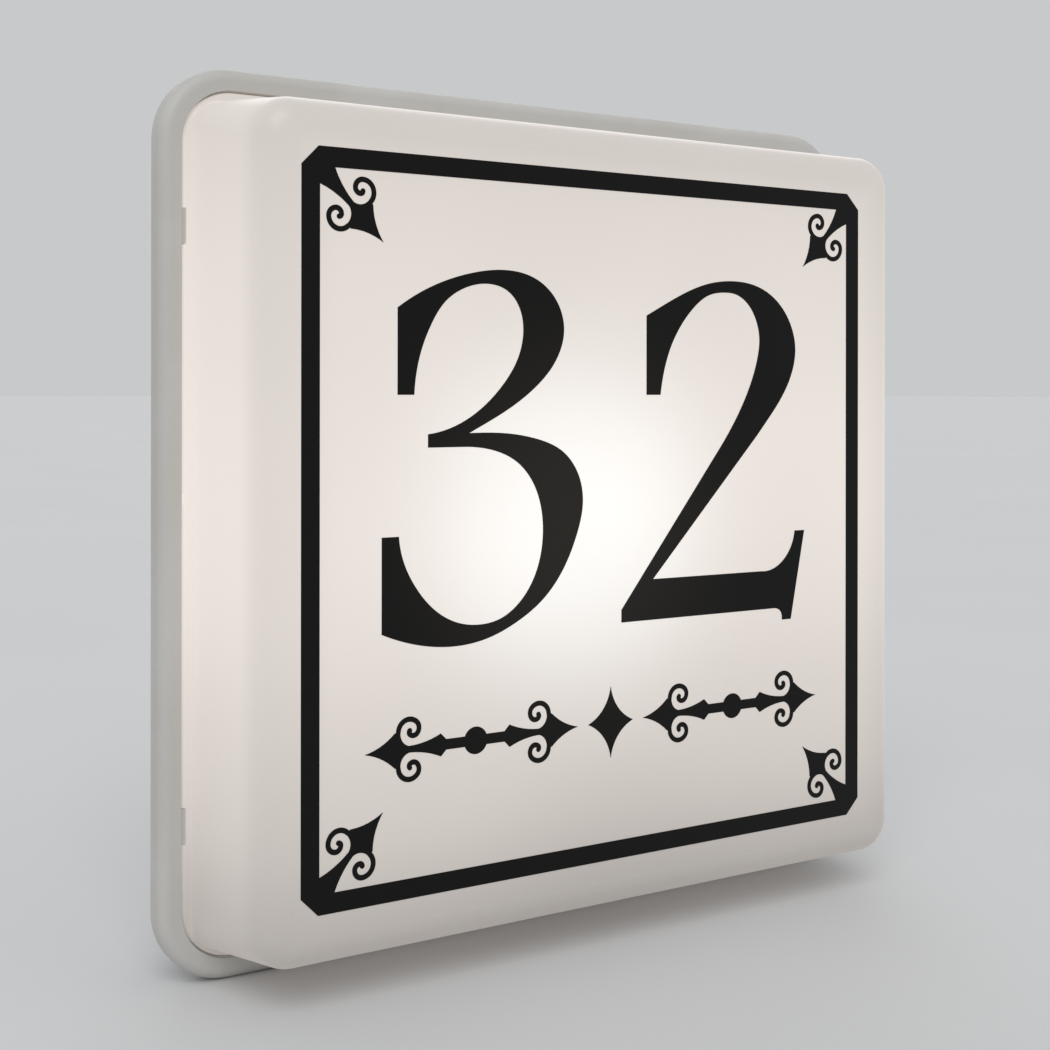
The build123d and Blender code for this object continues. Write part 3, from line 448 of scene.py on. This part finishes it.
def moulded_abs(plastic):
    """ABS, injection moulded with a fine spark-eroded texture: a dull white that has aged a
    little unevenly, dusty where it faces up, with the round marks of the ejector pins behind."""
    material, tree, surface = finish("moulded_abs", {"IOR": 1.53, "Specular IOR Level": 0.4})
    aged = Vector(plastic.tray) * 0.94
    aged = (aged[0], aged[1] * 0.99, aged[2] * 0.965, 1.0)
    body = vary(tree, surface, blotches(tree, 60 * MM), plastic.tray, aged, (0.46, 0.56))
    # dust on what faces up
    normal = add(tree, "ShaderNodeNewGeometry", {}).outputs["Normal"]
    facing = add(tree, "ShaderNodeSeparateXYZ", {0: normal})
    upward = add(
        tree, "ShaderNodeMapRange", {0: facing.outputs["Z"], 1: 0.55, 2: 1.0, 3: 0.0, 4: 0.2}
    ).outputs[0]
    dust = add(
        tree, "ShaderNodeMath", {0: upward, 1: blotches(tree, 9 * MM, 5.0)}, operation="MULTIPLY"
    ).outputs[0]
    dusty = add(
        tree, "ShaderNodeMix", {0: dust, 6: body.outputs[2], 7: colour("9b978e")}, data_type="RGBA"
    )
    tree.links.new(dusty.outputs[2], surface.inputs["Base Color"])
    # ejector pins leave shallow rings on the tray's back and floor
    pin_radius, pin_spacing, mark_width, mark_depth = 3 * MM, 45 * MM, 0.35 * MM, 0.12 * MM
    axes = add(tree, "ShaderNodeSeparateXYZ", {0: tree.nodes["place"].outputs["Object"]}).outputs
    flat = add(tree, "ShaderNodeCombineXYZ", {0: axes["X"], 1: axes["Z"], 2: 0.0}).outputs[0]
    near = add(
        tree,
        "ShaderNodeVectorMath",
        {0: flat, 1: (pin_spacing, pin_spacing, 1.0)},
        operation="SNAP",
    ).outputs["Vector"]
    centre = add(
        tree,
        "ShaderNodeVectorMath",
        {0: near, 1: (pin_spacing / 2, pin_spacing / 2, 0.0)},
        operation="ADD",
    ).outputs["Vector"]
    away = add(
        tree, "ShaderNodeVectorMath", {0: flat, 1: centre}, operation="DISTANCE"
    ).outputs["Value"]
    from_ring = add(tree, "ShaderNodeMath", {0: away, 1: pin_radius}, operation="SUBTRACT").outputs[0]
    ring = add(tree, "ShaderNodeMath", {0: from_ring}, operation="ABSOLUTE").outputs[0]
    groove = add(
        tree,
        "ShaderNodeMapRange",
        {0: ring, 1: 0.0, 2: mark_width, 3: 0.0, 4: 1.0},
        interpolation_type="SMOOTHSTEP",
    ).outputs[0]
    texture = 0.035 * MM
    grain = skin(tree, surface, 0.7 * MM, texture, 2.0)
    dent = add(tree, "ShaderNodeBump", {"Height": groove, "Distance": mark_depth, "Strength": 1.0})
    relief = {"Height": grain, "Distance": texture, "Strength": 1.0, "Normal": dent.outputs["Normal"]}
    fine = add(tree, "ShaderNodeBump", relief)
    tree.links.new(fine.outputs["Normal"], surface.inputs["Normal"])
    return material


def epdm_rubber(name, plastic):
    """EPDM rubber, moulded: dull black with a grey bloom, and a little sheen at the edges."""
    material, tree, surface = finish(
        name, {"Specular IOR Level": 0.3, "Sheen Weight": 0.25, "Sheen Roughness": 0.5}
    )
    bloom = colour("3d3e3d")
    vary(tree, surface, blotches(tree, 4 * MM, 5.0), plastic.rubber, bloom, (0.72, 0.86))
    skin(tree, surface, 0.8 * MM, 0.03 * MM)
    return material


def powder_coat():
    """Polyester powder coat on folded steel: white, with the orange peel that it cures to."""
    material, tree, surface = finish("powder_coated_steel", {"Specular IOR Level": 0.5})
    vary(tree, surface, blotches(tree, 12 * MM), colour("cdccc7"), colour("c3c2bc"), (0.32, 0.42))
    skin(tree, surface, 1.5 * MM, 0.03 * MM, 1.0)
    return material


def zinc_plate():
    """Zinc plated steel: pale grey metal, passivated to a faint blue and straw in patches."""
    material, tree, surface = finish("zinc_plated_steel", {"Metallic": 1.0})
    patches = blotches(tree, 1.5 * MM, 4.0)
    vary(tree, surface, patches, colour("b9bcbf"), colour("b3ad97"), (0.26, 0.42))
    # tool marks, drawn out round the head
    skin(tree, surface, 0.5 * MM, 0.012 * MM, 3.0, stretch=(1.0, 1.0, 0.15))
    return material


def holder_thermoplastic():
    """PBT, injection moulded: a glossy cream white that heat has turned a little yellow above."""
    material, tree, surface = finish("moulded_pbt", {"IOR": 1.55})
    place = tree.nodes["place"].outputs["Object"]
    height = add(tree, "ShaderNodeSeparateXYZ", {0: place}).outputs["Z"]
    low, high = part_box("holder_sleeve")
    warmth = add(
        tree,
        "ShaderNodeMapRange",
        {0: height, 1: low.z, 2: high.z, 3: 0.0, 4: 1.0},
        interpolation_type="SMOOTHSTEP",
    ).outputs[0]
    heat = add(
        tree, "ShaderNodeMath", {0: warmth, 1: blotches(tree, 16 * MM, 1.0)}, operation="MULTIPLY"
    ).outputs[0]
    vary(tree, surface, heat, colour("dedbd0"), colour("dbd6c5"), (0.28, 0.33))
    skin(tree, surface, 2.0 * MM, 0.02 * MM, 1.0)
    return material


def steatite():
    """Steatite, pressed and fired without a glaze: off-white, dry, with dark specks and pits."""
    material, tree, surface = finish("fired_steatite", {"Roughness": 0.66, "Specular IOR Level": 0.35})
    grain = {"Vector": tree.nodes["place"].outputs["Object"], "Scale": 1 / (1.6 * MM)}
    cells = add(tree, "ShaderNodeTexVoronoi", grain).outputs["Distance"]
    speck = add(tree, "ShaderNodeMapRange", {0: cells, 1: 0.06, 2: 0.14, 3: 1.0, 4: 0.0}).outputs[0]
    vary(tree, surface, speck, colour("d9d4c6"), colour("9d9585"))
    skin(tree, surface, 0.5 * MM, 0.05 * MM, 4.0)
    return material


def drawn_brass():
    """Brass, drawn and turned: warm yellow metal, tarnished brown in places."""
    material, tree, surface = finish("drawn_brass", {"Metallic": 1.0})
    vary(tree, surface, blotches(tree, 3 * MM, 5.0), colour("d9b566"), colour("a5813f"), (0.2, 0.4))
    skin(tree, surface, 0.6 * MM, 0.01 * MM, 2.0, stretch=(1.0, 1.0, 6.0))
    return material


def nickel_plate():
    """Nickel on rolled brass sheet: warm grey metal with fine lines round it from the rolling."""
    material, tree, surface = finish("nickel_plated_brass", {"Metallic": 1.0})
    patches = blotches(tree, 6 * MM, 2.0)
    vary(tree, surface, patches, colour("cfcbc2"), colour("c4beb2"), (0.16, 0.26))
    skin(tree, surface, 2.5 * MM, 0.012 * MM, 2.0, stretch=(1.0, 1.0, 9.0))
    return material


def solder():
    """Tin solder, melted on: dull grey metal that froze in small waves."""
    material, tree, surface = finish("melted_solder", {"Metallic": 1.0})
    patches = blotches(tree, 1.5 * MM, 3.0)
    vary(tree, surface, patches, colour("b4b4b0"), colour("8d8d8a"), (0.35, 0.55))
    skin(tree, surface, 1.2 * MM, 0.08 * MM, 2.0)
    return material


def black_glass():
    """Black glass, melted into the cap: glossy, with slow waves."""
    material, tree, surface = finish("cast_black_glass", {"Roughness": 0.08, "IOR": 1.6})
    vary(tree, surface, blotches(tree, 3 * MM), colour("0b0a10"), colour("17151d"))
    skin(tree, surface, 3 * MM, 0.06 * MM, 1.0)
    return material


def bulb_housing():
    """White PBT over the bulb's heat sink, injection moulded: glossy, with a faint flow line."""
    material, tree, surface = finish("glossy_moulded_pbt", {"IOR": 1.55})
    vary(tree, surface, blotches(tree, 20 * MM), colour("dfdedb"), colour("dcdad6"), (0.27, 0.31))
    skin(tree, surface, 5 * MM, 0.03 * MM, 1.0)
    return material


def bulb_opal():
    """Opal polycarbonate, blown, over lit diodes: near white, a little warmer towards the neck."""
    material, tree, surface = finish(
        "blown_opal_polycarbonate",
        {
            "Base Color": colour("8f8e8b"),
            "Roughness": 0.3,
            "IOR": 1.58,
            "Emission Strength": 1.0,
        },
    )
    low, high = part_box("bulb_dome")
    place = tree.nodes["place"].outputs["Object"]
    height = add(tree, "ShaderNodeSeparateXYZ", {0: place}).outputs["Z"]
    rise = add(
        tree,
        "ShaderNodeMapRange",
        {0: height, 1: low.z, 2: low.z + 0.5 * (high.z - low.z), 3: 0.0, 4: 1.0},
        interpolation_type="SMOOTHSTEP",
    ).outputs[0]
    light = add(
        tree, "ShaderNodeMix", {0: rise, 6: colour("d8cdb8"), 7: colour("efebe0")}, data_type="RGBA"
    )
    tree.links.new(light.outputs[2], surface.inputs["Emission Color"])
    skin(tree, surface, 12 * MM, 0.04 * MM, 1.0)
    return material


def solder_mask(name, board, track):
    """Solder mask over copper tracks: a glossy lacquer that lies higher on the tracks."""
    material, tree, surface = finish(name, {"IOR": 1.5})
    cells = add(
        tree,
        "ShaderNodeTexVoronoi",
        {"Vector": tree.nodes["place"].outputs["Object"], "Scale": 1 / (3 * MM)},
        distance="MANHATTAN",
        feature="F1",
    ).outputs["Distance"]
    on_track = add(
        tree, "ShaderNodeMapRange", {0: cells, 1: 0.3, 2: 0.36, 3: 1.0, 4: 0.0}
    ).outputs[0]
    vary(tree, surface, on_track, colour(board), colour(track), (0.34, 0.24))
    bump = add(tree, "ShaderNodeBump", {"Height": on_track, "Distance": 0.04 * MM})
    tree.links.new(bump.outputs["Normal"], surface.inputs["Normal"])
    return material


def phosphor():
    """Phosphor in clear resin over a lit diode: yellow, brightest in the middle of each."""
    material, tree, surface = finish(
        "cast_phosphor_resin",
        {
            "Roughness": 0.2,
            "IOR": 1.5,
            "Emission Color": colour("ffe9a8"),
            "Emission Strength": 0.6,
        },
    )
    vary(tree, surface, blotches(tree, 0.8 * MM), colour("d8b13c"), colour("c89a24"))
    skin(tree, surface, 0.5 * MM, 0.02 * MM, 1.0)
    return material


def polyamide(name, first, second):
    """Polyamide, injection moulded: waxy, half see-through plastic with a matt skin."""
    material, tree, surface = finish(
        name,
        {
            "IOR": 1.53,
            "Subsurface Weight": 0.15,
            "Subsurface Radius": (1 * MM, 0.8 * MM, 0.5 * MM),
        },
    )
    vary(tree, surface, blotches(tree, 5 * MM), colour(first), colour(second), (0.42, 0.55))
    skin(tree, surface, 0.6 * MM, 0.03 * MM)
    return material


def silicone(name, first, second):
    """Silicone insulation, extruded over strands: soft gloss, with the strands' lay just felt."""
    material, tree, surface = finish(
        name, {"IOR": 1.43, "Sheen Weight": 0.15, "Sheen Roughness": 0.4}
    )
    vary(tree, surface, blotches(tree, 3 * MM, 4.0), colour(first), colour(second), (0.38, 0.5))
    skin(tree, surface, 1.4 * MM, 0.06 * MM, 1.0)
    return material


def bare_copper():
    """Copper strands, drawn and tinned at the tips: bright orange metal, darker between strands."""
    material, tree, surface = finish("drawn_copper", {"Metallic": 1.0})
    patches = blotches(tree, 1 * MM, 4.0)
    vary(tree, surface, patches, colour("e0936b"), colour("b06a48"), (0.22, 0.38))
    skin(tree, surface, 0.4 * MM, 0.01 * MM)
    return material


def studio_paper(stage):
    """Background paper: matt, with fibres too fine to see and faint unevenness."""
    material, tree, surface = finish("studio_paper", {"Roughness": 0.9, "Specular IOR Level": 0.1})
    patch, dimming = 400 * MM, 0.985
    pale = Vector(stage.paper) * dimming
    vary(tree, surface, blotches(tree, patch), stage.paper, (*pale[:3], 1.0))
    return material


# ---------------------------------------------------------------- making pieces
def dress(material, *names):
    """Give CAD nodes their finish."""
    for name in names:
        frame["nodes"][name].material_slots[0].material = material


def new_piece(name, shape, material, body):
    """Make a finished shape a piece of the sign that rides on a body."""
    weld, sharp = 1e-6, radians(38)
    bmesh.ops.remove_doubles(shape, verts=shape.verts, dist=weld)
    bmesh.ops.recalc_face_normals(shape, faces=shape.faces)
    for one in shape.faces:
        one.smooth = True
    for edge in shape.edges:
        edge.smooth = edge.calc_face_angle(0.0) < sharp
    data = bpy.data.meshes.new(name)
    shape.to_mesh(data)
    shape.free()
    data.materials.append(material)
    piece = bpy.data.objects.new(name, data)
    bpy.context.scene.collection.objects.link(piece)
    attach(piece, body)
    return piece


def turned(profile, x, y, steps, row=1.0):
    """A closed outline of (radius, height) turned about the upright axis at x and y. Its long
    sides are cut into rows, so that a thread can be pressed into them."""
    shape = bmesh.new()
    ring = [shape.verts.new((x + radius, y, z)) for radius, z in profile]
    sides = [shape.edges.new((a, b)) for a, b in zip(ring, ring[1:] + ring[:1])]
    for side in sides:
        cuts = round(side.calc_length() / row) - 1
        if cuts > 0:
            bmesh.ops.subdivide_edges(shape, edges=[side], cuts=cuts)
    bmesh.ops.spin(
        shape,
        geom=shape.verts[:] + shape.edges[:],
        cent=(x, y, 0),
        axis=(0, 0, 1),
        angle=tau,
        steps=steps,
        use_merge=True,
    )
    return shape


def roll_thread(shape, low, high, run_out, depth):
    """Press a right-handed knuckle thread into what lies between two heights."""
    for vert in shape.verts:
        z = vert.co.z
        if low < z < high:
            out = Vector((vert.co.x - lamp.x, vert.co.y - lamp.y, 0))
            turn = atan2(out.y, out.x) / tau
            wave = 0.5 - 0.5 * cos(tau * (z / thread_pitch - turn))
            fade = min(1.0, (z - low) / run_out, (high - z) / run_out)
            fade = fade * fade * (3 - 2 * fade)
            vert.co += out.normalized() * depth * wave * fade


def screw_cap(thread, material):
    """The bulb's cap: thin sheet rolled into a thread, with a collar and a row of punch marks."""
    low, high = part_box("bulb_cap")
    root, sheet = thread.root, thread.sheet
    foot, mouth = low.z, high.z
    thread_low, thread_high = foot + 2.4 * MM, mouth - 4.0 * MM
    # outside, from the foot's hem up to the rolled bead at the mouth, and back inside
    profile = [
        (10.05 * MM, foot + 0.1 * MM),
        (10.7 * MM, foot),
        (11.4 * MM, foot + 0.5 * MM),
        (11.95 * MM, foot + 1.4 * MM),
        (root, thread_low),
        (root, mouth - 1.4 * MM),
        (root + 0.3 * MM, mouth - 1.0 * MM),
        (root + 0.75 * MM, mouth - 0.75 * MM),
        (root + 0.88 * MM, mouth - 0.35 * MM),
        (root + 0.7 * MM, mouth - 0.02 * MM),
        (root - sheet, mouth - 0.02 * MM),
        (root - sheet, mouth - 1.4 * MM),
        (root - sheet, thread_low),
        (10.05 * MM, foot + 0.95 * MM),
    ]
    shape = turned(profile, lamp.x, lamp.y, thread.steps, thread.row)
    run_out = 1.6 * MM
    roll_thread(shape, thread_low, thread_high, run_out, thread.depth)
    # punch marks that hold the cap to the body
    marks, mark_radius, mark_depth = 8, 1.1 * MM, 0.45 * MM
    mark_z = (thread_high + mouth - 1.4 * MM) / 2
    for vert in shape.verts:
        out = Vector((vert.co.x - lamp.x, vert.co.y - lamp.y, 0))
        turn = (atan2(out.y, out.x) / tau * marks) % 1 - 0.5
        away = hypot(turn / marks * tau * root, vert.co.z - mark_z) / mark_radius
        if away < 2:
            vert.co -= out.normalized() * mark_depth * exp(-3 * away * away)
    piece = new_piece("screw_cap", shape, material, "bulb")
    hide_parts("bulb_cap")


def screw_shell(thread, material):
    """The holder's shell: the same thread in sheet, with a lip above and a foot turned inwards."""
    low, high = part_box("thread_shell")
    inside = thread.root + thread.play
    outside = inside + thread.sheet
    foot, mouth = low.z, high.z
    lip = high.x - lamp.x - 0.1 * MM
    thread_low, thread_high = foot + 1.0 * MM, mouth - 2.4 * MM
    # outside, from the foot that is turned inwards up to the lip, and back inside
    profile = [
        (10.5 * MM, foot),
        (inside - 0.5 * MM, foot),
        (outside, thread_low),
        (outside, thread_high),
        (outside + 0.5 * MM, mouth - 1.3 * MM),
        (lip - 0.3 * MM, mouth - 0.5 * MM),
        (lip, mouth - 0.15 * MM),
        (lip - 0.3 * MM, mouth),
        (inside + 0.6 * MM, mouth - 0.8 * MM),
        (inside, thread_high),
        (inside, thread_low),
        (inside - 0.8 * MM, foot + thread.sheet),
        (10.5 * MM, foot + thread.sheet),
    ]
    shape = turned(profile, lamp.x, lamp.y, thread.steps, thread.row)
    run_out = 1.6 * MM
    roll_thread(shape, thread_low, thread_high, run_out, thread.depth)
    piece = new_piece("screw_shell", shape, material, "tray")
    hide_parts("thread_shell")


def lead_end(lead):
    """Place where a lead enters its terminal, and the lead's radius."""
    low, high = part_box(lead)
    radius = 1.1 * MM
    return Vector((low.x + radius, high.y - radius, high.z)), radius


def wire_end(name, lead, copper, sleeve):
    """Seven bare strands in the terminal, and the collar of the crimped ferrule below it."""
    place, radius = lead_end(lead)
    strand, reach = 0.26 * MM, 9 * MM
    shape = bmesh.new()
    spots = [(0.0, 0.0)] + [(2 * strand, i * tau / 6) for i in range(6)]
    for away, turn in spots:
        centre = place + Matrix.Rotation(turn, 3, "Z") @ Vector((away, 0, reach / 2))
        bmesh.ops.create_cone(
            shape,
            cap_ends=True,
            segments=12,
            radius1=strand,
            radius2=strand,
            depth=reach,
            matrix=Matrix.Translation(centre),
        )
    new_piece(name + "_strands", shape, copper, "tray")
    wide, length = radius + 0.75 * MM, 5.5 * MM
    # a straight collar round the lead that narrows towards the terminal
    profile = [
        (radius + 0.03 * MM, place.z - length),
        (wide - 0.15 * MM, place.z - length),
        (wide, place.z - length + 0.15 * MM),
        (wide, place.z - 2.4 * MM),
        (radius + 0.25 * MM, place.z - 0.2 * MM),
        (radius + 0.03 * MM, place.z - 0.2 * MM),
    ]
    collar = turned(profile, place.x, place.y, steps=32)
    new_piece(name + "_ferrule", collar, sleeve, "tray")


# ---------------------------------------------------------------- one operator a group of pieces
class SIGN_OT_cover(bpy.types.Operator):
    """Finish the opal cover and the film on its face"""

    bl_idname = "sign.cover"
    bl_label = "Cover and film"

    def execute(self, context):
        scene = context.scene
        dress(opal_acrylic(scene.sign_glow, scene.sign_plastic), "cover")
        film = cast_film(scene.sign_glow, scene.sign_plastic)
        dress(film, "film_border", "numeral_three", "numeral_two", "film_divider")
        return {"FINISHED"}


class SIGN_OT_tray(bpy.types.Operator):
    """Finish the base tray, its seal and its grommet"""

    bl_idname = "sign.tray"
    bl_label = "Tray and seals"

    def execute(self, context):
        plastic = context.scene.sign_plastic
        dress(moulded_abs(plastic), "base_tray")
        dress(epdm_rubber("moulded_epdm_seal", plastic), "seal")
        dress(epdm_rubber("moulded_epdm_grommet", plastic), "cable_grommet")
        return {"FINISHED"}


class SIGN_OT_holder(bpy.types.Operator):
    """Finish the lamp holder and its bracket, and roll the thread of its shell"""

    bl_idname = "sign.holder"
    bl_label = "Lamp holder"

    def execute(self, context):
        dress(powder_coat(), "holder_bracket")
        dress(
            zinc_plate(),
            "bracket_screws",
            "holder_screws",
            "block_screws",
            "clamp_screws",
            "terminal_screws",
        )
        dress(holder_thermoplastic(), "holder_sleeve")
        dress(steatite(), "holder_core")
        dress(drawn_brass(), "centre_contact", "terminal_inserts")
        screw_shell(context.scene.sign_thread, nickel_plate())
        return {"FINISHED"}


class SIGN_OT_bulb(bpy.types.Operator):
    """Finish the bulb and roll the thread of its cap"""

    bl_idname = "sign.bulb"
    bl_label = "Bulb"

    def execute(self, context):
        dress(solder(), "bulb_contact")
        dress(black_glass(), "bulb_insulator")
        dress(bulb_housing(), "bulb_body")
        dress(bulb_opal(), "bulb_dome")
        dress(solder_mask("white_solder_mask", "e2e3e1", "d3d6d3"), "bulb_board")
        dress(solder_mask("green_solder_mask", "1f6b38", "2b8048"), "bulb_driver")
        dress(phosphor(), "bulb_leds")
        screw_cap(context.scene.sign_thread, nickel_plate())
        return {"FINISHED"}


class SIGN_OT_wiring(bpy.types.Operator):
    """Finish the terminal block, the clamp and the leads, and add the leads' bare ends"""

    bl_idname = "sign.wiring"
    bl_label = "Wiring"

    def execute(self, context):
        dress(polyamide("moulded_natural_polyamide", "d8d4c5", "cdc8b6"), "terminal_block")
        dress(polyamide("moulded_grey_polyamide", "9b9c9c", "8e8f90"), "cable_clamp")
        brown = silicone("extruded_brown_silicone", "5a3320", "4a2a1b")
        blue = silicone("extruded_blue_silicone", "2557a8", "1f4a92")
        dress(brown, "live_lead")
        dress(blue, "neutral_lead")
        copper = bare_copper()
        wire_end("live", "live_lead", copper, brown)
        wire_end("neutral", "neutral_lead", copper, blue)
        return {"FINISHED"}


class SIGN_OT_stage(bpy.types.Operator):
    """Set up the pale floor, the soft light and the camera"""

    bl_idname = "sign.stage"
    bl_label = "Stage"

    def execute(self, context):
        scene, stage = context.scene, context.scene.sign_stage
        # the sign stands on its lower edge on a floor that reaches the horizon
        shape = bmesh.new()
        clearance, reach = 0.1 * MM, 60.0
        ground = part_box("base_tray")[0].z - clearance
        bmesh.ops.create_grid(
            shape, x_segments=2, y_segments=2, size=reach, matrix=Matrix.Translation((0, 0, ground))
        )
        data = bpy.data.meshes.new("floor")
        shape.to_mesh(data)
        shape.free()
        data.materials.append(studio_paper(stage))
        floor = bpy.data.objects.new("floor", data)
        scene.collection.objects.link(floor)
        # light from all round, a large soft key on the camera's side and a weak one behind
        world = bpy.data.worlds.new("air")
        world.use_nodes = True
        world.node_tree.nodes["Background"].inputs["Color"].default_value = stage.air
        world.node_tree.nodes["Background"].inputs["Strength"].default_value = 1.0
        scene.world = world
        for name, place, strength, spread in (
            ("key", (-0.5, -0.75, 0.9), 1.15, radians(40)),
            ("back", (0.5, 0.8, 0.5), 0.5, radians(50)),
        ):
            lamp_data = bpy.data.lights.new(name, "SUN")
            lamp_data.energy = strength
            lamp_data.angle = spread
            light = bpy.data.objects.new(name, lamp_data)
            light.rotation_euler = Vector(place).to_track_quat("Z", "Y").to_euler()
            light.location = place
            scene.collection.objects.link(light)
        # camera
        frame_pixels = 1050
        view = bpy.data.cameras.new("camera")
        view.sensor_width = 36.0
        view.lens = stage.focal_pixels * view.sensor_width / frame_pixels
        view.shift_x = (frame_pixels / 2 - stage.axis_pixel[0]) / frame_pixels
        view.shift_y = (stage.axis_pixel[1] - frame_pixels / 2) / frame_pixels
        view.clip_start = 0.01
        camera = bpy.data.objects.new("camera", view)
        turn = Matrix.Rotation(-stage.camera_turn, 4, "Z") @ Matrix.Rotation(pi / 2, 4, "X")
        turn = turn @ Matrix.Rotation(stage.camera_roll, 4, "Z")
        camera.matrix_world = Matrix.Translation(stage.camera_place) @ turn
        scene.collection.objects.link(camera)
        scene.camera = camera
        scene.view_settings.view_transform = "Standard"
        return {"FINISHED"}


class SIGN_PT_panel(bpy.types.Panel):
    """The steps that finish the sign, and the sizes and colours to change"""

    bl_label = "House number sign"
    bl_idname = "SIGN_PT_panel"
    bl_space_type = "VIEW_3D"
    bl_region_type = "UI"
    bl_category = "Sign"

    def draw(self, context):
        for step in steps:
            self.layout.operator(step.bl_idname)
        for name in settings:
            group = getattr(context.scene, name)
            box = self.layout.box()
            for prop in group.bl_rna.properties:
                if prop.identifier not in ("rna_type", "name"):
                    box.prop(group, prop.identifier)


steps = (SIGN_OT_cover, SIGN_OT_tray, SIGN_OT_holder, SIGN_OT_bulb, SIGN_OT_wiring, SIGN_OT_stage)
settings = {
    "sign_glow": GlowSettings,
    "sign_plastic": PlasticSettings,
    "sign_thread": ThreadSettings,
    "sign_stage": StageSettings,
}


def register():
    for name, group in settings.items():
        bpy.utils.register_class(group)
        setattr(bpy.types.Scene, name, PointerProperty(type=group))
    for step in steps:
        bpy.utils.register_class(step)
    bpy.utils.register_class(SIGN_PT_panel)


def unregister():
    bpy.utils.unregister_class(SIGN_PT_panel)
    for step in reversed(steps):
        bpy.utils.unregister_class(step)
    for name, group in settings.items():
        delattr(bpy.types.Scene, name)
        bpy.utils.unregister_class(group)


def main():
    register()
    bpy.ops.sign.cover()
    bpy.ops.sign.tray()
    bpy.ops.sign.holder()
    bpy.ops.sign.bulb()
    bpy.ops.sign.wiring()
    bpy.ops.sign.stage()


if __name__ == "__main__":
    main()
